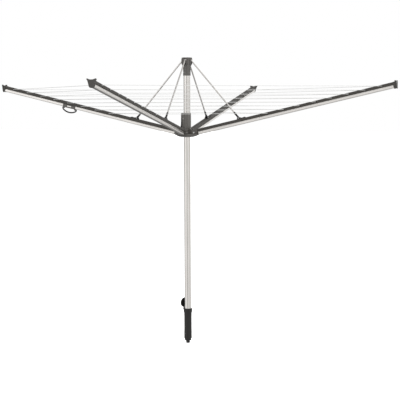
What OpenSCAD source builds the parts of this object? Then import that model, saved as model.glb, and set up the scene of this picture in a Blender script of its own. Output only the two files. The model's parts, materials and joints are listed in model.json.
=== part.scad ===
// Rotary clothesline: a mast in a ground socket, four folding arms on a sliding hub, four struts,
// and eight rings of line that draw back into the arms. Z = 0 is the ground, the mast is the Z axis.

/* [Mast] */
// Outer diameter of the mast tube
mast_d = 50; // [48:0.5:52]
// Wall of the mast tube
mast_wall = 2; // [1.5:0.25:3]
// Height of the top of the mast head
head_top = 1917; // [1880:1:1960]
// Length of the mast head, from its sleeve to its top
head_len = 135; // [120:1:150]

/* [Hub] */
// Height of the arm pivots with the arms open
pivot_z = 1357; // [1330:1:1380]
// Distance of the arm pivots from the mast axis
pivot_r = 62; // [61:0.5:66]
// Outer diameter of the hub collar
collar_d = 59; // [58:0.5:62]
// Height of the hub collar above the arm pivots
collar_h = 146; // [130:1:160]
// Outer diameter of the hub dish
dish_d = 178; // [172:1:186]

/* [Arms] */
// Distance from the mast axis to the outer face of an end cap
arm_reach = 1580; // [1560:1:1700]
// Rise of the open arms above level, in degrees
arm_rise = 12.8; // [8:0.1:16]
// Width of an arm
arm_w = 34; // [32:1:36]
// Height of an arm
arm_h = 43; // [42:1:46]
// Height of the dark cover above the aluminium profile
cover_h = 22; // [20:1:24]
// Width of the dark cover, which stands out over the profile on both sides
cover_w = 42; // [40:1:44]

/* [Struts] */
// Distance along the arm from its pivot to the strut's lower pivot
strut_foot = 364; // [340:1:400]
// Diameter of a strut rod
strut_d = 11; // [9:0.5:11]
// Distance of the strut's top bar from the mast axis
strut_top_r = 31; // [31:0.5:33]
// Distance of the strut's top bar below the top of the head
strut_top_drop = 17; // [15:0.5:20]

/* [Lines] */
// Number of line rings
rings = 8; // [6:1:8]
// Distance of the innermost ring's outlets from the mast axis
first_ring = 640; // [600:5:700]
// Distance between rings, measured level
ring_pitch = 119.5; // [100:0.5:122]
// Diameter of the line
line_d = 3; // [2.5:0.5:4]

/* [Handle] */
// Distance from the mast axis to the middle of the pull handle
handle_r = 981; // [930:5:1040]
// Length of the pull handle
handle_len = 130; // [110:1:140]
// Depth of the pull handle below its pins
handle_drop = 30; // [29:1:50]

/* [Ground socket] */
// Outer diameter of the socket barrel
socket_d = 58; // [57:0.5:62]
// Length of the socket barrel below the ground
socket_depth = 188; // [180:1:260]
// Height of the socket collar above the ground
socket_rise = 31; // [28:1:36]
// Outer diameter of the socket collar
socket_collar_d = 66; // [65:1:70]

/* [Hidden] */
SIDES = ["right", "back", "left", "front"];
ARM_PARTS = ["arm_profile", "arm_cover", "arm_root", "arm_cap", "strut_bracket", "strut_pin",
             "line_carriage", "draw_cord", "strut_rod", "strut_end", "lines"];
$fn = 48;

silver = "#cdc9c4";
steel = "#a9a9a6";
dark = "#56534f";
black = "#2b2926";
cord_white = "#e8e8e4";

// Fits: running clearance of a pin or sleeve, and the gap between parts that only pass each other
run = 0.05;
gap = 0.5;
over = 1;                       // how far a cut runs past the face it opens

// Fixed sizes
lid_angle = 150;                // the lid hinge sits between the back and the left arm
lever_angle = 225;              // the release lever sits between the left and the front arm
cheek_t = 6;
arm_pin_d = 10;
profile_wall = 1.8;
profile_top = 17;               // height of the profile, inside the cover
arm_start = 34;                 // where the profile and the cover begin, from the pivot
cap_t = 28;                     // length of an end cap, of which the outer flange is cap_flange
cap_flange = 10;
cap_lean = 9;
foot_h = 28.5;                  // height of the strut's lower pivot above the arm's centre line
strut_pin_d = 6;
knuckle_r = 6.5;
end_len = 56;                   // length of the plastic strut end
end_r = 7;
bar_r = 4;                      // strut's top cross bar
bar_len = 20;
outlet_z = 12;                  // height of the line outlets above the arm's centre line
outlet_d = 6.5;
lid_hinge_r = 40;
lid_r = 37;
carriage_x = 430;
carriage_len = 60;
bore_floor = -180;              // where the mast stands inside the socket

// Derived values
mast_r = mast_d / 2;
half_h = arm_h / 2;
cover_z = half_h - cover_h;
arm_len = (arm_reach - pivot_r) / cos(arm_rise);
strut_top_z = head_top - strut_top_drop;
mast_top = head_top - 26;
hub_fit_r = mast_r + 0.08;
foot_at = [pivot_r + strut_foot * cos(arm_rise) - foot_h * sin(arm_rise),
           pivot_z + strut_foot * sin(arm_rise) + foot_h * cos(arm_rise)];
strut_run = [strut_top_r - foot_at.x, strut_top_z - foot_at.y];
strut_len = norm(strut_run);
strut_turn = atan2(strut_run.y, strut_run.x) - arm_rise;
handle_x = (handle_r - pivot_r) / cos(arm_rise);

function ring_r(k) = first_ring + ring_pitch * k;
function ring_x(k) = (ring_r(k) - pivot_r + outlet_z * sin(arm_rise)) / cos(arm_rise);
function ring_z(k) = pivot_z + ring_x(k) * sin(arm_rise) + outlet_z * cos(arm_rise);
function arc(centre, r, from, to, n = 8) =
    [for (k = [0 : n]) let (a = from + (to - from) * k / n) centre + r * [cos(a), sin(a)]];

// ---- places ----
module at_arm(i) {
    rotate([0, 0, 90 * i]) translate([pivot_r, 0, pivot_z]) rotate([0, -arm_rise, 0]) children();
}
module at_strut(i) {
    at_arm(i) translate([strut_foot, 0, foot_h]) rotate([0, -strut_turn, 0]) children();
}
// An outline drawn as seen along an arm, run from x0 to x1
module along(x0, x1) {
    translate([x0, 0, 0]) rotate([90, 0, 90]) linear_extrude(x1 - x0) children();
}
// A cylinder across an arm
module across(x, z, d, w) {
    translate([x, -w / 2, z]) rotate([-90, 0, 0]) cylinder(d = d, h = w);
}
// An outline in radius and height, as a plate across the radius from y0 to y1
module plate(y0, y1) {
    translate([0, y1, 0]) rotate([90, 0, 0]) linear_extrude(y1 - y0) children();
}
module both_sides() {
    children();
    mirror([0, 1, 0]) children();
}
module four_arms() {
    for (i = [0 : 3]) rotate([0, 0, 90 * i]) children();
}
module tube(r_out, r_in, z0, z1) {
    translate([0, 0, z0]) difference() {
        cylinder(r = r_out, h = z1 - z0, $fn = 96);
        translate([0, 0, -over]) cylinder(r = r_in, h = z1 - z0 + 2 * over, $fn = 96);
    }
}

// ---- ground socket ----
module ground_socket() color(black) difference() {
    union() {
        rotate_extrude($fn = 96) polygon([
            [0, -socket_depth - 39], [11, -socket_depth - 39], [14.5, -socket_depth - 33],
            [14.5, -socket_depth - 19], [24.5, -socket_depth - 16], [24.5, -socket_depth - 6],
            [socket_d / 2, -socket_depth], [socket_d / 2, 0], [socket_collar_d / 2 - 2, 8],
            [socket_collar_d / 2, 12], [socket_collar_d / 2, socket_rise - 2],
            [socket_collar_d / 2 - 2, socket_rise], [0, socket_rise]]);
        rotate([0, 0, lid_angle]) both_sides() lid_lug();
    }
    translate([0, 0, bore_floor]) cylinder(r = mast_r + 1.6, h = 300, $fn = 96);
    rotate([0, 0, lid_angle]) across(lid_hinge_r, socket_rise + 3, 3, 40);
}
module lid_lug() plate(7, 12) difference() {
    union() {
        translate([28, socket_rise - 14]) square([lid_hinge_r - 28 + 3, 14]);
        translate([lid_hinge_r, socket_rise + 3]) circle(3.2);
        translate([lid_hinge_r - 3.2, socket_rise - 2]) square([6.4, 5]);
    }
    translate([lid_hinge_r, socket_rise + 3]) circle(1.5);
}
module socket_bush() color(dark)
    tube(mast_r + 1.55, mast_r + 0.08, -24, socket_rise);
module lid_pin() color(steel)
    rotate([0, 0, lid_angle]) across(lid_hinge_r, socket_rise + 3, 3, 24);

// The lid is drawn closed, then turned up about its pin
module socket_lid() color(black)
    rotate([0, 0, lid_angle]) translate([lid_hinge_r, 0, socket_rise + 3])
        rotate([0, 90, 0]) translate([-lid_hinge_r, 0, 0]) difference() {
            union() {
                translate([0, 0, -2]) cylinder(r = lid_r, h = 3.5, $fn = 96);
                tube(lid_r, lid_r - 1.6, -9, -1.9);
                translate([lid_r - 4, -6, -2]) cube([lid_hinge_r - lid_r + 4, 12, 3.5]);
                across(lid_hinge_r, 0, 7, 12);
            }
            across(lid_hinge_r, 0, 3 + 2 * run, 20);
            translate([lid_hinge_r - 8, -13, -10]) cube([20, 7, 8.5]);
            translate([lid_hinge_r - 8, 6, -10]) cube([20, 7, 8.5]);
        }

// ---- mast ----
module mast_tube() color(silver) tube(mast_r, mast_r - mast_wall, bore_floor + 4, mast_top);
module mast_foot() color(dark) {
    translate([0, 0, bore_floor]) cylinder(r = mast_r, h = 4, $fn = 96);
    translate([0, 0, bore_floor + 4]) cylinder(r = mast_r - mast_wall, h = 26, $fn = 96);
}
// Four open clevises at the top: each strut's cross bar lies in half-round seats between two cheeks,
// and a groove below lets the folded strut lie close to the mast
sleeve_r = mast_r + 3.2;
groove = strut_d / 2 + 0.6;     // half its width
module mast_head() color(dark) difference() {
    union() {
        translate([0, 0, head_top - head_len]) cylinder(r = sleeve_r, h = head_len, $fn = 96);
        four_arms() both_sides() {
            plate(11, 14.5) head_cheek(head_top);
            plate(7, 11) head_cheek(strut_top_z);
        }
    }
    translate([0, 0, head_top - head_len - over])
        cylinder(r = mast_r, h = mast_top - head_top + head_len + over, $fn = 96);
    four_arms() {
        across(strut_top_r, strut_top_z, 2 * (bar_r + run), 21);
        plate(-groove, groove) polygon([
            [mast_r + 0.7, head_top - 105], [mast_r + 0.7, mast_top + 2], [mast_r - 3, mast_top + 2],
            [mast_r - 3, head_top + over], [50, head_top + over], [50, head_top - 105]]);
    }
    head_screw_holes(2.1);
}
module head_cheek(top) {
    foot = head_top - 62;
    intersection() {
        polygon([[20, foot], [sleeve_r, foot], [38, foot + 16], [38, head_top - 12],
                 [35.5, head_top - 2], [33.5, head_top], [20, head_top]]);
        translate([20, foot]) square([30, top - foot]);
    }
}
module head_screw_holes(r) {
    for (a = [45, 225]) rotate([0, 0, a]) translate([mast_r - mast_wall - over, 0, head_top - 110])
        rotate([0, 90, 0]) cylinder(r = r, h = 8);
}
module head_screws() color(steel) for (a = [45, 225])
    rotate([0, 0, a]) translate([mast_r, 0, head_top - 110]) rotate([0, 90, 0]) {
        cylinder(r = 2.1, h = sleeve_r - mast_r);
        translate([0, 0, sleeve_r - mast_r]) cylinder(r1 = 4, r2 = 3, h = 1.6);
    }

// ---- hub ----
module hub_body() color(dark) difference() {
    union() {
        rotate_extrude($fn = 96) hub_section();
        four_arms() both_sides() plate(arm_w / 2 - over, arm_w / 2 + gap + cheek_t) cheek();
        rotate([0, 0, lever_angle]) lever_housing();
    }
    translate([0, 0, pivot_z - 40]) cylinder(r = mast_r + 1.6, h = 300, $fn = 96);
    for (i = [0 : 3]) at_arm(i) {
        along(-half_h - gap, 60) translate([-arm_w / 2 - gap, -half_h - gap])
            square([arm_w + 2 * gap, arm_h + 20]);
        across(0, 0, arm_pin_d, 80);
    }
    rotate([0, 0, lever_angle]) lever_slot();
}
module hub_section() {
    z0 = pivot_z;
    polygon(concat(
        [[20, z0 + collar_h], [20, z0 - 34]],
        arc([30, z0 + 74], 108, -90, -57, 6),
        [[dish_d / 2, z0 - 16], [dish_d / 2, z0 - 11], [dish_d / 2 - 2, z0 - 9.5],
         [50, z0 - 17], [collar_d / 2, z0 - 6], [collar_d / 2, z0 + collar_h - 2],
         [collar_d / 2 - 2, z0 + collar_h]]));
}
// Side plate of an arm's seat, level with the arm's top
module cheek() polygon([
    [20, pivot_z - 26], [80, pivot_z - 20], [88, pivot_z - 15], [88, pivot_z + 16],
    [82, pivot_z + 25], [50, pivot_z + 19], [20, pivot_z + 44]]);
module hub_bushes() color(black) for (z = [pivot_z - 28, pivot_z + collar_h - 30])
    tube(mast_r + 1.55, hub_fit_r, z, z + 28);
module arm_pins() color(steel) for (i = [0 : 3]) at_arm(i) {
    across(0, 0, arm_pin_d, arm_w + 2 * gap + 2 * cheek_t);
    both_sides() translate([0, arm_w / 2 + gap + cheek_t, 0])
        rotate([-90, 0, 0]) cylinder(r = 6.5, h = 2);
}

// ---- release lever, in a housing between two arms ----
lever_z = pivot_z + 104;
lever_r = collar_d / 2 + 9.5;
housing_r = lever_r + 4.5;
module lever_housing() plate(-13.5, 13.5) polygon([
    [20, lever_z - 82], [collar_d / 2, lever_z - 82], [housing_r, lever_z - 68],
    [housing_r, pivot_z + collar_h - 3], [housing_r - 3, pivot_z + collar_h], [20, pivot_z + collar_h]]);
// The slot is open outwards, and reaches the mast only where the cam works
module lever_slot() {
    translate([mast_r - 2, -8.9, lever_z - 20]) cube([40, 17.8, 27]);
    translate([collar_d / 2 + 1, -8.9, lever_z - 62]) cube([40, 17.8, 62]);
    across(lever_r, lever_z, 5, 60);
}
module release_lever() color(black) rotate([0, 0, lever_angle]) difference() {
    plate(-8.4, 8.4) translate([lever_r, lever_z]) {
        cam = mast_r + 0.4 - lever_r;
        polygon(concat([[cam, -4], [cam, -12], [-5, -6], [-4, -20], [-3, -42], [9, -60], [12, -58],
                        [4, -38]], arc([0, 0], 6.5, 0, 110)));
    }
    across(lever_r, lever_z, 5 + 2 * run, 20);
    translate([lever_r - 6, 0, lever_z - 32]) rotate([0, 90, 0]) cylinder(r = 4.2, h = 8);
}
module lever_pin() color(steel)
    rotate([0, 0, lever_angle]) across(lever_r, lever_z, 5, 28);
// Coil spring between the collar and the lever
module lever_spring() color(steel) rotate([0, 0, lever_angle])
    translate([collar_d / 2 + 1, 0, lever_z - 32]) rotate([0, 90, 0])
        coil(3, 0.5, 5.6, 4);
module coil(r, wire_r, length, turns, sides = 6, steps = 14) {
    n = turns * steps;
    ring = function (k) let (a = 360 * k / steps, h = wire_r + (length - 2 * wire_r) * k / n)
        [for (s = [0 : sides - 1]) let (b = 360 * s / sides, q = r + wire_r * cos(b))
            [q * cos(a), q * sin(a), h + wire_r * sin(b)]];
    points = [for (k = [0 : n]) each ring(k)];
    walls = [for (k = [0 : n - 1]) for (s = [0 : sides - 1])
        let (a = k * sides + s, b = k * sides + (s + 1) % sides) [a, a + sides, b + sides, b]];
    ends = [[for (s = [0 : sides - 1]) s], [for (s = [sides - 1 : -1 : 0]) n * sides + s]];
    polyhedron(points, concat(walls, ends), convexity = 6);
}

// ---- arms ----
// Outline of the aluminium profile, drawn in by t on every side for its hollow
module profile_outline(t) {
    w = arm_w - 1 - 2 * t;
    r = 7 - t;
    base = -half_h + t;
    translate([-w / 2, base + r]) square([w, profile_top - t - base - r]);
    translate([-w / 2 + r, base]) square([w - 2 * r, r]);
    for (s = [-1, 1]) translate([s * (w / 2 - r), base + r]) circle(r);
}
module arm_profile() color(silver) difference() {
    along(arm_start, arm_len - cap_t) difference() {
        profile_outline(0);
        profile_outline(profile_wall);
        for (s = [-1, 1]) translate([s * (arm_w / 2 - 0.5), -4]) circle(0.8, $fn = 16);
    }
    for (k = [0 : rings - 1]) across(ring_x(k), outlet_z, outlet_d, 60);
}
module arm_cover() color(dark) difference() {
    along(arm_start, arm_len - cap_t) difference() {
        cover_outline(cover_w, half_h, 5);
        translate([-arm_w / 2 + 0.4, cover_z - over]) square([arm_w - 0.8, profile_top - cover_z + over]);
    }
    for (k = [0 : rings - 1]) across(ring_x(k), outlet_z, outlet_d, 60);
}
module cover_outline(w, top, r) {
    translate([-w / 2, cover_z]) square([w, top - cover_z - r]);
    translate([-w / 2 + r, top - r]) square([w - 2 * r, r]);
    for (s = [-1, 1]) translate([s * (w / 2 - r), top - r]) circle(r);
}
// Knuckle in the inner end of the profile
module arm_root() color(dark) difference() {
    union() {
        across(0, 0, arm_h, arm_w);
        translate([0, -arm_w / 2, -half_h]) cube([arm_start, arm_w, arm_h]);
        along(arm_start, arm_start + 34) profile_outline(profile_wall + 0.1);
    }
    across(0, 0, arm_pin_d + 2 * run, arm_w + 2);
}
// Shield-shaped cap: a flange with two ears and a face that leans back, a skirt and a plug
module arm_cap() color(dark) {
    difference() {
        along(arm_len - cap_flange, arm_len) cap_outline();
        plate(-40, 40) polygon([[arm_len, 14], [arm_len + over, 14], [arm_len + over, -40],
            [arm_len - cap_lean, -40]]);
    }
    along(arm_len - cap_t, arm_len - cap_flange) skirt_outline();
    along(arm_len - cap_t - 26, arm_len - cap_t) profile_outline(profile_wall + 0.1);
}
module cap_outline() polygon(concat(
    arc([30, 25.4], 3.8, -50, 115, 6), arc([0, 79.7], 57.2, -62.3, -117.7, 10),
    arc([-30, 25.4], 3.8, 65, 230, 6), [[-26, 14]],
    arc([0, -13], 16.8, 186, 354, 12), [[26, 14]]));
module skirt_outline() polygon(concat(
    [[22, half_h + 1], [-22, half_h + 1], [-23.6, half_h - 2], [-22.4, -1]],
    arc([0, -9.5], 17, 186, 354, 12), [[22.4, -1], [23.6, half_h - 2]]));

// Two walls beside the strut's foot, in which the strut lies when it is folded
module strut_bracket() color(black) difference() {
    union() {
        both_sides() plate(8.4, 12.4) {
            polygon([[strut_foot - 13, half_h], [strut_foot - 13, half_h + 7],
                     [strut_foot - 7, foot_h + 4], [strut_foot + 6, foot_h + 5],
                     [strut_foot + 16, half_h + 6], [strut_foot + 36, half_h + 5],
                     [strut_foot + 44, half_h + 7.5], [strut_foot + 48, half_h + 5],
                     [strut_foot + 49, half_h]]);
            translate([strut_foot, foot_h]) circle(6.5);
        }
        translate([strut_foot + 32, -8.4, half_h]) cube([17, 16.8, 1.8]);
    }
    across(strut_foot, foot_h, strut_pin_d, 40);
}
module strut_pin() color(steel) across(strut_foot, foot_h, strut_pin_d, 26);

// Slider inside the profile that takes the lines in, and the elastic cord that pulls it
module line_carriage() color(dark) difference() {
    along(carriage_x, carriage_x + carriage_len) {
        translate([-14.2, -half_h + profile_wall + gap + 5]) square([28.4, 13]);
        translate([-9, -half_h + profile_wall + gap]) square([18, 5]);
    }
    translate([carriage_x + 14, 0, -half_h]) cylinder(r = 4, h = 40);
}
module draw_cord() color(black)
    translate([carriage_x + carriage_len, 0, -half_h + 12]) rotate([0, 90, 0])
        cylinder(d = 6, h = arm_len - cap_t - 26 - carriage_x - carriage_len, $fn = 24);

// ---- struts: x runs up the strut from its lower pivot ----
module strut_rod() color(silver) {
    translate([20, 0, 0]) rotate([0, 90, 0]) cylinder(d = strut_d, h = strut_len - 18);
    across(strut_len, 0, 2 * bar_r, bar_len);
}
module strut_end() color(black) difference() {
    union() {
        across(0, 0, 2 * knuckle_r, 15.6);
        translate([0, -6.5, -knuckle_r]) cube([16, 13, 2 * knuckle_r]);
        translate([14, 0, 0]) rotate([0, 90, 0]) cylinder(r = end_r, h = end_len - 24);
        translate([end_len - 10, 0, 0]) rotate([0, 90, 0])
            cylinder(r1 = end_r, r2 = strut_d / 2 + 0.8, h = 10);
    }
    across(0, 0, strut_pin_d + 2 * run, 20);
    translate([20, 0, 0]) rotate([0, 90, 0]) cylinder(d = strut_d, h = end_len);
}

// ---- pull handle, under the left arm ----
handle_pin_z = -half_h - 7;
handle_bar = 5.5;               // radius of the bail's bar
bracket_reach = handle_len / 2 - 2 * handle_bar - gap;
module handle_bracket() color(dark) at_arm(2) difference() {
    union() {
        along(handle_x - bracket_reach, handle_x + bracket_reach) difference() {
            translate([-arm_w / 2 - 2.5, -half_h - 3]) square([arm_w + 5, cover_z + half_h + 3]);
            translate([-arm_w / 2 + 0.4, -half_h]) square([arm_w - 0.8, arm_h]);
        }
        for (s = [-1, 1]) translate([handle_x + s * (bracket_reach - 6) - 3, -8, handle_pin_z - 5])
            cube([6, 16, 9]);
    }
    translate([handle_x - 19, -30, -half_h + 6]) cube([38, 60, 9]);
    translate([handle_x - 70, 0, handle_pin_z]) rotate([0, 90, 0]) cylinder(r = 3.05, h = 140);
}
// D-shaped bail: its two pins point inwards into the bracket
module pull_handle() color(black) at_arm(2) translate([handle_x, 0, handle_pin_z]) {
    bend = 26;
    leg_x = handle_len / 2 - handle_bar;
    for (s = [-1, 1]) {
        translate([s * leg_x, 0, bend - handle_drop])
            cylinder(r = handle_bar, h = handle_drop - bend + 4);
        translate([s > 0 ? leg_x - 16 : -leg_x, 0, 0]) rotate([0, 90, 0]) cylinder(r = 3, h = 16);
        translate([s * (leg_x - bend), 0, bend - handle_drop]) rotate([90, 0, 0])
            rotate_extrude(angle = -90, start = s > 0 ? 0 : -90) translate([bend, 0])
                circle(handle_bar);
    }
    translate([bend - leg_x, 0, -handle_drop]) rotate([0, 90, 0])
        cylinder(r = handle_bar, h = 2 * (leg_x - bend));
}

// ---- lines: one straight span of each ring, from arm i to the next ----
module lines() for (k = [0 : rings - 1]) {
    inset = cover_w / 2 + line_d / 2 + 1;
    color(cord_white) translate([ring_r(k), inset, ring_z(k)])
        rotate([0, 0, 135]) rotate([0, 90, 0])
            cylinder(d = line_d, h = (ring_r(k) - inset) * sqrt(2), $fn = 16);
}

// ---- the assembly ----
ground_socket();
socket_bush();
lid_pin();
socket_lid();
mast_tube();
mast_foot();
mast_head();
head_screws();
hub_body();
hub_bushes();
arm_pins();
lever_pin();
lever_spring();
release_lever();
handle_bracket();
pull_handle();
for (i = [0 : 3]) {
    at_arm(i) arm_profile();
    at_arm(i) arm_cover();
    at_arm(i) arm_root();
    at_arm(i) arm_cap();
    at_arm(i) strut_bracket();
    at_arm(i) strut_pin();
    at_arm(i) line_carriage();
    at_arm(i) draw_cord();
    at_strut(i) strut_rod();
    at_strut(i) strut_end();
    rotate([0, 0, 90 * i]) lines();
}
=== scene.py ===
"""Rotary clothesline: camera, light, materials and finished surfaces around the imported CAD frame.

Outlines and sizes in the helpers are millimetres, in the frame of the part that they belong to.
The floor, the lamps and the camera are placed in metres.
"""
import json
import math

import bmesh
import bpy
from mathutils import Matrix, Vector


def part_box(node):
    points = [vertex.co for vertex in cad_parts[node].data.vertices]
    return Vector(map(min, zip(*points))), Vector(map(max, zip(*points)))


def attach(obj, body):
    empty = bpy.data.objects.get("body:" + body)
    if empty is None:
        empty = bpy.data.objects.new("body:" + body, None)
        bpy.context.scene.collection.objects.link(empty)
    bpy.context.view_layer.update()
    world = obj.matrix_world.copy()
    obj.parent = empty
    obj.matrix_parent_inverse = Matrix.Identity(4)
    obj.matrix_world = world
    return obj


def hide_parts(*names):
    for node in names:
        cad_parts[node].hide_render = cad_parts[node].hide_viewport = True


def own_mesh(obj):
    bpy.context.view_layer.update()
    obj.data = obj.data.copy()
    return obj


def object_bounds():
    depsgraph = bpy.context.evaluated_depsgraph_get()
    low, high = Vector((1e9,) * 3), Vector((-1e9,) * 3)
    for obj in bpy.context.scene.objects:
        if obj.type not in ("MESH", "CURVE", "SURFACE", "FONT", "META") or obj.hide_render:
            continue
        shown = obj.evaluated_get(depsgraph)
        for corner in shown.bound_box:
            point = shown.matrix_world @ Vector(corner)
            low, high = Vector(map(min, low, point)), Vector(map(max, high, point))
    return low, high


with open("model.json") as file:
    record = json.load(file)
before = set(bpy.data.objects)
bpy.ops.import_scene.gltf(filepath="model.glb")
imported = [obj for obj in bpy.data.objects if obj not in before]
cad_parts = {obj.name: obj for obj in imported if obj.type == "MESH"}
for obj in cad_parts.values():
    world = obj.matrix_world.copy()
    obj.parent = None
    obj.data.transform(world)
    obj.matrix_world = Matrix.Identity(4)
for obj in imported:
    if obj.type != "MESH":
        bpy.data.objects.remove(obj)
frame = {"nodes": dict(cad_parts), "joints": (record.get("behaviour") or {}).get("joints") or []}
cad_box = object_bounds()
NODES = frame["nodes"]
JOINTS = {j["name"]: j for j in frame["joints"]}
SIDES = ("right", "back", "left", "front")
MM = 0.001
UP = Vector((0, 0, 1))
scene = bpy.context.scene
rad = math.radians


# ---- places -------------------------------------------------------------------------------------
def axes_at(origin, x, y):
    """Matrix of a frame in millimetres at a point of the row frame, from its x and y directions."""
    x, y = Vector(x).normalized(), Vector(y).normalized()
    m = Matrix((x, y, x.cross(y))).transposed().to_4x4()
    m.translation = Vector(origin)
    return m @ Matrix.Scale(MM, 4)


def extent(name, matrix):
    """Lowest and highest corner of a CAD node in a part's own frame, in millimetres."""
    back = matrix.inverted()
    points = [back @ v.co for v in NODES[name].data.vertices]
    return tuple(Vector([pick(p[k] for p in points) for k in range(3)]) for pick in (min, max))


def middle(name):
    points = [v.co for v in NODES[name].data.vertices]
    return sum(points, Vector()) / len(points)


ROW = Matrix.Scale(MM, 4)
ARM, STRUT = {}, {}
for side in SIDES:
    lift, run = JOINTS[f"arm_{side}_lift"], JOINTS[f"carriage_{side}_run"]
    across = -Vector(lift["axis"])
    ARM[side] = axes_at(lift["pos_m"], run["axis"], across)
    foot = Vector(JOINTS[f"strut_{side}_turn"]["pos_m"])
    STRUT[side] = axes_at(foot, middle("strut_rod_" + side) - foot, across)

# The rings of line, as in the CAD model
RINGS, FIRST_RING, RING_PITCH = 8, 640.0, 119.5
OUTLET_Z, LINE_R = 12.0, 1.5
COVER_HALF = extent("arm_cover_right", ARM["right"])[1].y
LINE_GAP = 0.5                  # between a cover and the end of a line
SAG_SHARE = 0.001               # of a half span's length
PIVOT_R, PIVOT_Z = (c / MM for c in JOINTS["arm_right_lift"]["pos_m"][::2])
RISE = math.asin(JOINTS["carriage_right_run"]["axis"][2])
LIFT = rad(JOINTS["arm_right_lift"]["range_deg"][1])


def ring_x(k):
    """Distance along an arm, from its pivot, of the outlets of ring k."""
    return (FIRST_RING + RING_PITCH * k - PIVOT_R + OUTLET_Z * math.sin(RISE)) / math.cos(RISE)


# ---- materials ----------------------------------------------------------------------------------
def new_material(name, colour, rough, metal=0.0, **sockets):
    m = bpy.data.materials.new(name)
    m.use_nodes = True
    nt = m.node_tree
    b = nt.nodes["Principled BSDF"]
    b.inputs["Base Color"].default_value = (*colour, 1)
    b.inputs["Roughness"].default_value = rough
    b.inputs["Metallic"].default_value = metal
    for key, value in sockets.items():
        b.inputs[key.replace("_", " ")].default_value = value
    m.diffuse_color = (*colour, 1)
    return m, nt, b


def node(nt, kind, links=(), **props):
    n = nt.nodes.new(kind)
    for key, value in props.items():
        if hasattr(n, key):
            setattr(n, key, value)
        else:
            n.inputs[key.replace("_", " ")].default_value = value
    for socket, source in links:
        nt.links.new(source, n.inputs[socket])
    return n


def coords(nt, matrix=None, scale=(1, 1, 1), source="Object"):
    """Object or UV coordinates, turned into a part's own frame and stretched."""
    tc = node(nt, "ShaderNodeTexCoord")
    out = tc.outputs[source]
    if matrix is not None:
        turn = node(nt, "ShaderNodeMapping", [("Vector", out)], vector_type="TEXTURE")
        turn.inputs["Location"].default_value = matrix.translation
        turn.inputs["Rotation"].default_value = matrix.to_euler()
        out = turn.outputs[0]
    return node(nt, "ShaderNodeMapping", [("Vector", out)], Scale=scale).outputs[0]


def ramp(nt, source, *stops):
    r = node(nt, "ShaderNodeValToRGB", [("Fac", source)])
    el = r.color_ramp.elements
    while len(el) < len(stops):
        el.new(0.5)
    for e, (at, c) in zip(el, stops):
        e.position = at
        e.color = (*c, 1) if isinstance(c, tuple) else (c, c, c, 1)
    return r.outputs["Color"]


def spread(nt, source, low, high, out_low, out_high):
    """A value from low..high carried over to out_low..out_high."""
    return node(nt, "ShaderNodeMapRange", [("Value", source)], From_Min=low, From_Max=high,
                To_Min=out_low, To_Max=out_high).outputs[0]


def relief(nt, b, *layers):
    """Bump layers of (height, strength, depth in mm), one over the other."""
    normal = None
    for height, strength, depth in layers:
        n = node(nt, "ShaderNodeBump", [("Height", height)], Strength=strength, Distance=depth * MM)
        if normal is not None:
            nt.links.new(normal, n.inputs["Normal"])
        normal = n.outputs[0]
    nt.links.new(normal, b.inputs["Normal"])


def shade(colour, k):
    return tuple(min(1.0, c * k) for c in colour)


def plastic(name, colour, rough, grain=0.05, scale=900.0, contrast=0.16, gloss=0.5):
    """Moulded plastic: a fine spark-eroded grain, faint flow marks and uneven gloss."""
    m, nt, b = new_material(name, colour, rough, Specular_IOR_Level=gloss)
    v = coords(nt)
    cloud = node(nt, "ShaderNodeTexNoise", [("Vector", v)], Scale=7.0, Detail=5.0, Roughness=0.6)
    spots = node(nt, "ShaderNodeTexNoise", [("Vector", v)], Scale=160.0, Detail=3.0, Roughness=0.7)
    both = node(nt, "ShaderNodeMath", [(0, cloud.outputs["Fac"]), (1, spots.outputs["Fac"])],
                operation="ADD")
    nt.links.new(ramp(nt, spread(nt, both.outputs[0], 0.6, 1.4, 0, 1),
                      (0, shade(colour, 1 - contrast)), (1, shade(colour, 1 + contrast))),
                 b.inputs["Base Color"])
    nt.links.new(spread(nt, cloud.outputs["Fac"], 0.3, 0.7, rough - 0.06, rough + 0.06),
                 b.inputs["Roughness"])
    fine = node(nt, "ShaderNodeTexVoronoi", [("Vector", v)], Scale=scale)
    relief(nt, b, (fine.outputs["Distance"], 0.35, grain))
    return m


def extruded(name, colour, rough, matrix, lengthways=1.5, crossways=900):
    """Satin anodised extrusion: die lines along the part, a matt etch and faint handling marks."""
    m, nt, b = new_material(name, colour, rough, 1.0)
    lines = node(nt, "ShaderNodeTexNoise",
                 [("Vector", coords(nt, matrix, (lengthways, crossways, crossways)))],
                 Scale=1.0, Detail=4.0, Roughness=0.65)
    marks = node(nt, "ShaderNodeTexNoise", [("Vector", coords(nt, matrix, (3, 30, 30)))],
                 Scale=1.0, Detail=6.0, Roughness=0.6)
    etch = node(nt, "ShaderNodeTexNoise", [("Vector", coords(nt))], Scale=1400.0, Detail=2.0)
    nt.links.new(ramp(nt, marks.outputs["Fac"], (0.3, shade(colour, 0.9)), (0.7, shade(colour, 1.07))),
                 b.inputs["Base Color"])
    nt.links.new(spread(nt, lines.outputs["Fac"], 0.25, 0.75, rough - 0.08, rough + 0.1),
                 b.inputs["Roughness"])
    relief(nt, b, (lines.outputs["Fac"], 0.3, 0.03), (etch.outputs["Fac"], 0.25, 0.02))
    return m


def plated(name, colour, rough):
    """Zinc plated steel: mottled gloss with faint blue and straw tints."""
    m, nt, b = new_material(name, colour, rough, 1.0)
    n = node(nt, "ShaderNodeTexNoise", [("Vector", coords(nt))], Scale=220.0, Detail=5.0)
    nt.links.new(ramp(nt, n.outputs["Fac"], (0.25, (0.50, 0.52, 0.57)), (0.5, colour),
                      (0.75, (0.66, 0.63, 0.56))), b.inputs["Base Color"])
    nt.links.new(spread(nt, n.outputs["Fac"], 0, 1, rough - 0.1, rough + 0.15), b.inputs["Roughness"])
    relief(nt, b, (n.outputs["Fac"], 0.2, 0.03))
    return m


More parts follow.
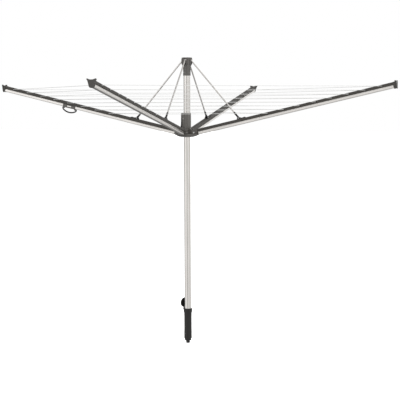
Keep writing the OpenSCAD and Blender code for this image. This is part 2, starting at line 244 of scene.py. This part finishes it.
def braided(name, colour, rough, strands, pitch, depth, contrast):
    """Braided or twisted cord: strands run round it in both senses over its UV map, once in pitch mm."""
    m, nt, b = new_material(name, colour, rough)
    heights = []
    for sense in (1, -1):
        uv = coords(nt, source="UV")
        parts = node(nt, "ShaderNodeSeparateXYZ", [("Vector", uv)])
        along = node(nt, "ShaderNodeMath", [(0, parts.outputs["Y"])], operation="MULTIPLY")
        along.inputs[1].default_value = sense * strands / pitch
        round_ = node(nt, "ShaderNodeMath", [(0, parts.outputs["X"])], operation="MULTIPLY")
        round_.inputs[1].default_value = float(strands)
        total = node(nt, "ShaderNodeMath", [(0, along.outputs[0]), (1, round_.outputs[0])], operation="ADD")
        wave = node(nt, "ShaderNodeMath", [(0, total.outputs[0])], operation="PINGPONG")
        wave.inputs[1].default_value = 0.5
        heights.append(wave.outputs[0])
    over = node(nt, "ShaderNodeMath", [(0, heights[0]), (1, heights[1])], operation="MAXIMUM")
    # Colour follows the strand height: painted shade in the grooves between strands, painted highlight on
    # their crowns
    nt.links.new(ramp(nt, spread(nt, over.outputs[0], 0, 0.5, 0, 1), (0, shade(colour, 1 - contrast)),
                      (1, shade(colour, 1 + contrast / 2))), b.inputs["Base Color"])
    relief(nt, b, (over.outputs[0], 0.6, depth))
    return m


ANTHRACITE, BLACK = (0.062, 0.057, 0.051), (0.0075, 0.0065, 0.0055)
SILVER, STEEL = (0.53, 0.512, 0.49), (0.60, 0.60, 0.59)
MAT = {
    "anthracite": plastic("anthracite_plastic", ANTHRACITE, 0.46),
    "cover": plastic("cover_plastic", shade(ANTHRACITE, 0.62), 0.6, grain=0.04, scale=1200.0,
                     gloss=0.2),
    "cap": plastic("cap_plastic", shade(ANTHRACITE, 0.6), 0.5, gloss=0.3),
    "black": plastic("black_plastic", BLACK, 0.38, grain=0.04, contrast=0.22, gloss=0.3),
    "steel": plated("zinc_plated_steel", STEEL, 0.35),
    "mast": extruded("mast_aluminium", SILVER, 0.22, Matrix.Rotation(rad(-90), 4, "Y")),
    # The last number of each braided cord sets its painted shade in the strand grooves and painted highlight
    # on the crowns
    "line": braided("sheathed_line", (0.50, 0.50, 0.49), 0.4, 2, 14.0, 0.12, 0.12),
    "elastic": braided("braided_elastic", (0.03, 0.03, 0.032), 0.7, 8, 18.0, 0.25, 0.5),
}
for side in SIDES:
    MAT["arm_" + side] = extruded("arm_aluminium_" + side, SILVER, 0.3, ARM[side].normalized())
    MAT["strut_" + side] = extruded("strut_aluminium_" + side, shade(SILVER, 0.78), 0.22,
                                    STRUT[side].normalized())


# ---- mesh helpers -------------------------------------------------------------------------------
def arc(centre, r, start, stop, n=8):
    """Points of an arc in a plane, from one angle in degrees to another."""
    turns = [rad(start + (stop - start) * k / n) for k in range(n + 1)]
    return [(centre[0] + r * math.cos(a), centre[1] + r * math.sin(a)) for a in turns]


def loft(bm, rings, ends=True):
    """Quads between rings of points, with a face over each end."""
    rows = [[bm.verts.new(p) for p in ring] for ring in rings]
    n = len(rows[0])
    for a, b in zip(rows, rows[1:]):
        for k in range(n):
            bm.faces.new((a[k], a[(k + 1) % n], b[(k + 1) % n], b[k]))
    if ends:
        bm.faces.new(rows[0][::-1])
        bm.faces.new(rows[-1])


def prism(bm, outline, x0, x1):
    """An outline of (y, z) run along x."""
    loft(bm, [[(x, y, z) for y, z in outline] for x in (x0, x1)])


def revolve(bm, profile, segments=64, radius=lambda r, z, a: r, matrix=None):
    """A profile of (r, z) turned about z. It is a closed loop, or starts and ends on the axis."""
    rows = []
    for s in range(segments):
        a = 2 * math.pi * s / segments
        row = [(radius(r, z, a) * math.cos(a), radius(r, z, a) * math.sin(a), z) for r, z in profile]
        rows.append([bm.verts.new(matrix @ Vector(p) if matrix else p) for p in row])
    n = len(profile)
    for s in range(segments):
        a, b = rows[s], rows[(s + 1) % segments]
        for k in range(n):
            m = (k + 1) % n
            if profile[k][0] or profile[m][0]:
                bm.faces.new((a[k], b[k], b[m], a[m]))
    bmesh.ops.remove_doubles(bm, verts=[v for row in rows for v in row], dist=1e-5)


def sweep(bm, path, radius, sides=12):
    """A tube of changing radius along a path, with its UV map in turns and millimetres."""
    path = [Vector(p) for p in path]
    uv = bm.loops.layers.uv.verify()
    steps = [b - a for a, b in zip(path, path[1:])]
    tangents = [steps[0]] + [a.normalized() + b.normalized() for a, b in zip(steps, steps[1:])] + [steps[-1]]
    tangents = [t.normalized() for t in tangents]
    normal = tangents[0].orthogonal().normalized()
    rows, lengths = [], [0.0]
    for step in steps:
        lengths.append(lengths[-1] + step.length)
    for i, (p, t) in enumerate(zip(path, tangents)):
        normal = (normal - t * normal.dot(t)).normalized()
        side = t.cross(normal)
        r = radius(lengths[i] / lengths[-1])
        turns = [2 * math.pi * k / sides for k in range(sides)]
        rows.append([bm.verts.new(p + r * (math.cos(a) * normal + math.sin(a) * side)) for a in turns])
    for i, (a, b) in enumerate(zip(rows, rows[1:])):
        for k in range(sides):
            m = (k + 1) % sides
            f = bm.faces.new((a[k], a[m], b[m], b[k]))
            for loop, at in zip(f.loops, ((k, i), (k + 1, i), (k + 1, i + 1), (k, i + 1))):
                loop[uv].uv = (at[0] / sides, lengths[at[1]])
    bm.faces.new(rows[0][::-1])
    bm.faces.new(rows[-1])


def piece(name, bm, matrix, body, material, slot, replaces=(), **edges):
    """A bmesh in millimetres becomes a piece in the row frame that rides on a body."""
    bm.transform(matrix)
    bmesh.ops.recalc_face_normals(bm, faces=bm.faces)
    return dress(name, bm, body, material, slot, replaces, **edges)


def dress(name, bm, body, material, slot, replaces, smooth=32, bevel=0.0, segments=2):
    me = bpy.data.meshes.new(name)
    bm.to_mesh(me)
    bm.free()
    me.materials.append(material)
    me.shade_smooth()
    me.set_sharp_from_angle(angle=rad(smooth))
    ob = bpy.data.objects.new(name, me)
    scene.collection.objects.link(ob)
    if bevel:
        mod = ob.modifiers.new("edges", "BEVEL")
        mod.width, mod.segments = bevel * MM, segments
        mod.limit_method, mod.angle_limit = "ANGLE", rad(smooth)
        mod.harden_normals, mod.miter_outer = True, "MITER_ARC"
    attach(ob, body)
    if replaces:
        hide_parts(*replaces)
    return ob


def soften(cad, name, body, material, slot, bevel, edit=None, **edges):
    """The CAD node's own shape with its edges rounded, and finer detail where edit makes it."""
    bm = bmesh.new()
    bm.from_mesh(NODES[cad].data)
    bmesh.ops.remove_doubles(bm, verts=bm.verts, dist=2e-6)
    bmesh.ops.dissolve_degenerate(bm, edges=bm.edges, dist=1e-6)
    bmesh.ops.dissolve_limit(bm, angle_limit=rad(0.6), verts=bm.verts, edges=bm.edges)
    if edit:
        edit(bm)
    return dress(name, bm, body, material, slot, [cad], bevel=bevel, **edges)


def recess(bm, direction, margin, depth, least):
    """Sinks a panel into each face that looks along a direction and is over least square mm."""
    direction = Vector(direction).normalized()
    faces = [f for f in bm.faces if f.normal.dot(direction) > 0.995 and f.calc_area() > least * MM * MM]
    for f in faces:
        bmesh.ops.inset_region(bm, faces=[f], thickness=margin * MM, use_even_offset=True)
        bmesh.ops.inset_region(bm, faces=[f], thickness=depth * MM * 0.5, depth=-depth * MM,
                               use_even_offset=True)


def both_faces(direction, margin, depth, least):
    """An edit for soften: the same panel in the faces that look either way along a direction."""
    def edit(bm):
        for sense in (1, -1):
            recess(bm, Vector(direction) * sense, margin, depth, least)
    return edit


# ---- CAD nodes that stay, with their materials --------------------------------------------------
STEEL_NODES = ("arm_pins", "head_screws", "lever_pin", "lever_spring", "lid_pin")
DARK_NODES = ("mast_head", "hub_body", "handle_bracket", "mast_foot", "socket_bush")
for name, ob in NODES.items():
    kind, side = name.rsplit("_", 1)
    key = "black"
    if name == "mast_tube":
        key = "mast"
    elif kind in ("arm_profile", "strut_rod"):
        key = kind.split("_")[0] + "_" + side
    elif kind in ("arm_cover", "arm_root", "arm_cap", "line_carriage") or name in DARK_NODES:
        key = "anthracite"
    elif kind == "strut_pin" or name in STEEL_NODES:
        key = "steel"
    elif kind in ("lines", "draw_cord"):
        key = "line" if kind == "lines" else "elastic"
    ob.data.materials.clear()
    ob.data.materials.append(MAT[key])


# ---- mast, hub and ground socket ----------------------------------------------------------------
def housings():
    soften("hub_body", "hub_housing", "hub", MAT["anthracite"], "dark_plastic", 1.2)
    soften("mast_head", "head_housing", "mast", MAT["anthracite"], "dark_plastic", 1.0)
    soften("mast_foot", "mast_plug", "mast", MAT["anthracite"], "dark_plastic", 1.0)
    soften("head_screws", "head_screw_heads", "mast", MAT["steel"], "steel", 0.4)
    soften("arm_pins", "arm_rivets", "hub", MAT["steel"], "steel", 0.9, segments=3)
    soften("lever_pin", "lever_axle", "hub", MAT["steel"], "steel", 0.5)
    soften("lid_pin", "lid_axle", "socket", MAT["steel"], "steel", 0.4)


def lever():
    out = middle("lever_pin")
    out.z = 0
    soften("release_lever", "lever_blade", "lever", MAT["black"], "black_plastic", 0.7,
           both_faces(UP.cross(out), 1.6, 0.8, 60))


def spring():
    low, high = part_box("lever_spring")
    centre = (low + high) / 2 / MM
    out = Vector((centre.x, centre.y, 0)).normalized()
    across = UP.cross(out)
    turns, steps, r, wire, length = 4, 24, 3.0, 0.5, 5.6
    bm, path = bmesh.new(), []
    for k in range(turns * steps + 1):
        a, h = 2 * math.pi * k / steps, (length - 2 * wire) * (k / (turns * steps) - 0.5)
        path.append(centre + out * h + r * (math.cos(a) * across + math.sin(a) * UP))
    sweep(bm, path, lambda t: wire, 8)
    piece("lever_coil", bm, ROW, "hub", MAT["steel"], "steel", ["lever_spring"])


def socket():
    """Barrel with a fluted waist, a ribbed step and a blunt stepped nose, and the lid's lugs."""
    low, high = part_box("ground_socket")
    bottom, rim = low.z / MM, high.z / MM - 3
    barrel = bottom + 39
    bore_r, waist_r, step_r, barrel_r, mouth_r = 26.6, 28.7, 24.5, 29, 33
    flutes, flute_depth, rib_depth = 18, 0.9, 1.1
    flute_top, flute_low = -18, barrel + 56

    def fluted(r, z, a):
        if r == waist_r and flute_low < z < flute_top:
            return r - flute_depth / 2 * (1 + math.cos(flutes * a))
        if r == step_r:
            return r - (rib_depth if math.cos(flutes * a) < 0 else 0)
        return r

    bm = bmesh.new()
    outside = ([(0, bottom), (11.5, bottom), (13.5, bottom + 3), (14.5, bottom + 7), (14.5, bottom + 19),
                (23.5, bottom + 20), (step_r, bottom + 22), (step_r, bottom + 33), (step_r, barrel - 4),
                (28.2, barrel - 3.2), (barrel_r, barrel - 2),
                (barrel_r, flute_low - 14), (waist_r, flute_low)]
               + [(waist_r, flute_low + (flute_top - flute_low) * k / 12) for k in range(1, 12)]
               + [(waist_r, flute_top), (barrel_r, -8), (barrel_r, 0), (31, 8), (32.6, 11),
                  (mouth_r, 13), (mouth_r, rim - 6),
                  (32.2, rim - 5), (32.2, rim - 4), (mouth_r, rim - 3), (mouth_r, rim - 1.4), (31.6, rim)])
    inside = [(bore_r + 0.6, rim), (bore_r, rim - 0.6), (bore_r, -180), (0, -180)]
    revolve(bm, outside + inside, 144, fluted)
    piece("socket_barrel", bm, ROW, "socket", MAT["black"], "black_plastic", ["ground_socket"], smooth=28)

    pin = extent("lid_pin", ROW)
    hinge = (pin[0] + pin[1]) / 2
    out = Vector((hinge.x, hinge.y, 0))
    lug = axes_at(Vector((0, 0, hinge.z)) * MM, out.normalized().cross(UP), out.normalized())
    bm = bmesh.new()
    for y in (-12, 7):
        prism(bm, [(barrel_r, 14 - hinge.z), (out.length + 1, 21 - hinge.z),
                   (out.length + 3.2, 25 - hinge.z)]
              + arc((out.length, 0), 3.2, 0, 180, 8) + [(out.length - 3.2, -4), (barrel_r, -4)], y, y + 5)
    piece("lid_lugs", bm, lug, "socket", MAT["black"], "black_plastic", bevel=0.5)


def lid():
    out = Vector(JOINTS["lid_turn"]["pos_m"])
    out.z = 0
    soften("socket_lid", "lid_cup", "lid", MAT["black"], "black_plastic", 0.7,
           both_faces(out, 5.0, 0.7, 2000))


# ---- arms ---------------------------------------------------------------------------------------
def cover(side):
    """U-shaped cover over the profile: a shadow groove along each side, a shallow one along the top."""
    low, high = extent("arm_cover_" + side, ARM[side])
    half, z0, z1, wall, channel_top = high.y, low.z, high.z, 4.4, 17.0
    right = [(half, z0), (half, z0 + 1.6), (half - 0.8, z0 + 2.2), (half - 0.8, z0 + 3.4), (half, z0 + 4)]
    right += arc((half - 5, z1 - 5), 5, 0, 90, 6) + [(4, z1), (3.4, z1 - 0.5)]
    inner = [(wall - half, z0), (wall - half, channel_top), (half - wall, channel_top), (half - wall, z0)]
    outline = right + [(-y, z) for y, z in reversed(right)] + inner
    bm = bmesh.new()
    prism(bm, outline, low.x, high.x)
    piece("cover_" + side, bm, ARM[side], "arm_" + side, MAT["cover"], "dark_plastic",
          ["arm_cover_" + side], bevel=0.5)


def eyelets(side):
    """Flanged bushing round each line outlet."""
    y = extent("arm_cover_" + side, ARM[side])[1].y
    profile = ([(0, -0.2), (4.5, -0.2), (4.5, 0.4)] + arc((3.9, 0.4), 0.6, 0, 90, 3)
               + arc((3.1, 1.5), 1.1, 40, 180, 5) + [(2.0, 0.4), (0, 0.4)])
    bm = bmesh.new()
    for k in range(RINGS):
        for sense in (1, -1):
            place = (Matrix.Translation((ring_x(k), sense * y, OUTLET_Z))
                     @ Matrix.Rotation(rad(-90 * sense), 4, "X"))
            revolve(bm, profile, 24, matrix=place)
    piece("eyelets_" + side, bm, ARM[side], "arm_" + side, MAT["black"], "black_plastic")


def arm_ends(side):
    across, body = JOINTS[f"arm_{side}_lift"]["axis"], "arm_" + side
    soften("arm_cap_" + side, "end_cap_" + side, body, MAT["cap"], "dark_plastic", 0.9)
    soften("arm_root_" + side, "arm_knuckle_" + side, body, MAT["anthracite"], "dark_plastic", 0.9,
           both_faces(across, 3.2, 1.0, 500))
    soften("strut_bracket_" + side, "strut_saddle_" + side, body, MAT["black"], "black_plastic", 0.6)
    soften("strut_pin_" + side, "strut_rivet_" + side, body, MAT["steel"], "steel", 0.6)
    soften("strut_end_" + side, "strut_foot_" + side, "strut_" + side, MAT["black"], "black_plastic", 0.7)


def draw_cord(side):
    low, high = extent("draw_cord_" + side, ARM[side])
    run = JOINTS[f"carriage_{side}_run"]
    travel, r, steps = run["range_m"][1] / MM, (high.z - low.z) / 2, 40
    z, length = (low.z + high.z) / 2, high.x - low.x
    bm = bmesh.new()
    sweep(bm, [(low.x + length * k / steps, 0, z) for k in range(steps + 1)], lambda t: r, 16)
    ob = piece("elastic_" + side, bm, ARM[side], "arm_" + side, MAT["elastic"], "elastic",
               ["draw_cord_" + side])
    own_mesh(ob)


# ---- pull handle --------------------------------------------------------------------------------
def handle():
    low, high = extent("pull_handle", ARM["left"])
    bar, leg, tip = 5.4, 5.0, 4.3               # radii of the bail: middle, legs and their ends
    cad_bar, pin_r, pin_end_r = 5.5, 2.9, 2.2   # radii of the CAD bail's bar and of the two pins
    pin_z = low.z + 35.5
    x0, x1, bottom = low.x + cad_bar, high.x - cad_bar, low.z + cad_bar
    middle_x, bow, corner = (x0 + x1) / 2, 100, 17
    reach = (x1 - x0) / 2 - corner
    swing = math.degrees(math.asin(reach / (bow - corner)))
    centre_z = bottom + bow - (bow - corner) * math.cos(rad(swing))
    left, right = (x0 + corner, centre_z), (x1 - corner, centre_z)
    outline = (arc(left, corner, 180, 270 - swing, 8)
               + arc((middle_x, bottom + bow), bow, 270 - swing, 270 + swing, 16)[1:-1]
               + arc(right, corner, swing - 90, 0, 8))
    path = [(x0, 0, pin_z + 3.4), (x0, 0, pin_z + 2)] + [(x, 0, z) for x, z in outline]
    path += [(x1, 0, pin_z + 2), (x1, 0, pin_z + 3.4)]

    def thickness(t):
        end = min(t, 1 - t)
        return (tip if end < 0.004 else leg) + (bar - leg) * min(1, end / 0.3) ** 2

    bm = bmesh.new()
    sweep(bm, path, thickness, 20)
    for x, inward in ((x0, 1), (x1, -1)):
        sweep(bm, [(x, 0, pin_z), (x + inward * 15, 0, pin_z), (x + inward * 16, 0, pin_z)],
              lambda t: pin_r if t < 0.97 else pin_end_r, 20)
    piece("grip_bail", bm, ARM["left"], "handle", MAT["black"], "black_plastic", ["pull_handle"], bevel=0.5)

    soften("handle_bracket", "grip_bracket", "arm_left", MAT["anthracite"], "dark_plastic", 0.6,
           both_faces(JOINTS["arm_left_lift"]["axis"], 2.4, 0.7, 300))


# ---- lines --------------------------------------------------------------------------------------
def half_line(i, k, sense):
    """Half a span of ring k, from an outlet of arm i towards the next arm (1) or the one before (-1).
    """
    side, radius, inset = SIDES[i], FIRST_RING + RING_PITCH * k, COVER_HALF + LINE_GAP
    height = PIVOT_Z + ring_x(k) * math.sin(RISE) + OUTLET_Z * math.cos(RISE)
    turn = Matrix.Rotation(rad(90 * i), 4, "Z")
    start, way = Vector((radius, sense * inset, height)), Vector((-1, sense, 0)).normalized()
    length = (radius - inset) / math.sqrt(2)
    steps, sag = 24, SAG_SHARE * length
    path = []
    for s in range(steps + 1):
        t = s / steps
        path.append(turn @ (start + way * length * t - UP * sag * t * (2 - t)))
    bm = bmesh.new()
    sweep(bm, path, lambda t: LINE_R, 10)
    other = SIDES[i] if sense == 1 else SIDES[i - 1]
    name = f"line_{side}_{'next' if sense == 1 else 'prev'}_{k + 1}"
    ob = piece(name, bm, ROW, "arm_" + side, MAT["line"], "line", ["lines_" + other])

    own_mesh(ob)


housings()
lever()
spring()
socket()
lid()
for side in SIDES:
    cover(side)
    eyelets(side)
    arm_ends(side)
    draw_cord(side)
handle()
for i in range(len(SIDES)):
    for k in range(RINGS):
        half_line(i, k, 1)
        half_line(i, k, -1)

# ---- floor, light and camera --------------------------------------------------------------------
AZIMUTH = 21.957                # of the camera, from the -Y axis towards +X

# Brightness of the surroundings, by the share of a turn round the object
BANDS = ((0.0, 0.25), (0.14, 0.3), (0.22, 0.8), (0.3, 1.2), (0.4, 1.05), (0.48, 0.62), (0.56, 1.1),
         (0.66, 0.95), (0.78, 0.75), (0.88, 1.1), (1.0, 0.5))
# and from straight down (0) to straight up (1)
HEIGHTS = ((0.05, 0.8), (0.3, 0.8), (0.4, 0.9), (0.46, 1.0), (0.56, 1.0), (0.66, 1.35), (0.75, 1.25),
           (1.0, 0.9))
# Place and power of each lamp, and the point that they all face
LAMPS = {"key": ((6.0, -2.0, 5.0), 150), "fill": ((-4.0, -5.5, 3.5), 30), "back": ((1.0, 6.0, 4.5), 40)}
AIM = Vector((0, 0, 1.2))


def floor():
    """Pale floor. It gives off a little light, so that it runs into the white background."""
    bm = bmesh.new()
    bmesh.ops.create_grid(bm, x_segments=2, y_segments=2, size=60)
    me = bpy.data.meshes.new("floor")
    bm.to_mesh(me)
    bm.free()
    ob = bpy.data.objects.new("floor", me)
    ob.location.z = cad_box[0].z - 0.0005
    ob.visible_glossy = ob.visible_diffuse = False
    scene.collection.objects.link(ob)
    m, nt, b = new_material("pale_floor", (0.93, 0.93, 0.93), 0.9, Emission_Strength=0.5)
    b.inputs["Emission Color"].default_value = (1, 1, 1, 1)
    n = node(nt, "ShaderNodeTexNoise", [("Vector", coords(nt))], Scale=0.7, Detail=3.0)
    nt.links.new(ramp(nt, n.outputs["Fac"], (0.3, 0.92), (0.7, 0.94)), b.inputs["Base Color"])
    me.materials.append(m)


def surroundings():
    """White to the camera. Other rays meet soft upright bands, which the round aluminium reflects as
    stripes, brightest a little above level and dimmer towards the ground."""
    world = bpy.data.worlds.new("studio")
    scene.world = world
    world.use_nodes = True
    nt = world.node_tree
    view = node(nt, "ShaderNodeTexCoord").outputs["Generated"]
    turned = node(nt, "ShaderNodeMapping", [("Vector", view)], Rotation=(0, 0, rad(90 - AZIMUTH)))
    round_ = node(nt, "ShaderNodeTexGradient", [("Vector", turned.outputs[0])], gradient_type="RADIAL")
    bands = ramp(nt, round_.outputs["Fac"], *BANDS)
    up = node(nt, "ShaderNodeSeparateXYZ", [("Vector", view)]).outputs["Z"]
    heights = ramp(nt, spread(nt, up, -1, 1, 0, 1), *HEIGHTS)
    light = node(nt, "ShaderNodeVectorMath", [(0, bands), (1, heights)], operation="MULTIPLY")
    lit = node(nt, "ShaderNodeBackground", [("Color", light.outputs[0])], Strength=1.35)
    white = node(nt, "ShaderNodeBackground", Strength=1.0)
    white.inputs["Color"].default_value = (1, 1, 1, 1)
    path = node(nt, "ShaderNodeLightPath")
    mix = node(nt, "ShaderNodeMixShader", [(0, path.outputs["Is Camera Ray"]), (1, lit.outputs[0]),
                                           (2, white.outputs[0])])
    nt.links.new(mix.outputs[0], nt.nodes["World Output"].inputs["Surface"])


def lamps():
    for name, (at, power) in LAMPS.items():
        data = bpy.data.lights.new(name, "AREA")
        data.shape, data.size, data.energy = "SQUARE", 3.0, power
        lamp = bpy.data.objects.new(name, data)
        lamp.location = at
        lamp.rotation_euler = (Vector(at) - AIM).to_track_quat("Z", "Y").to_euler()
        lamp.visible_camera = False
        scene.collection.objects.link(lamp)


def camera():
    data = bpy.data.cameras.new("camera")
    cam = bpy.data.objects.new("camera", data)
    scene.collection.objects.link(cam)
    azimuth, yaw, pitch, roll = rad(AZIMUTH), rad(0.663), rad(2.091), rad(-0.230)
    distance, eye = 8.29, 1.571
    data.sensor_width, data.lens = 36.0, 99.698
    data.shift_y = -0.1393
    data.dof.use_dof = False
    data.clip_start, data.clip_end = 0.1, 300
    level = Matrix.Rotation(azimuth - yaw, 4, "Z") @ Matrix.Rotation(rad(90) - pitch, 4, "X")
    cam.matrix_world = (Matrix.Translation((math.sin(azimuth) * distance, -math.cos(azimuth) * distance, eye))
                        @ level @ Matrix.Rotation(roll, 4, "Z"))
    scene.camera = cam


floor()
surroundings()
lamps()
camera()
scene.view_settings.view_transform = "Standard"
scene.view_settings.look = "None"
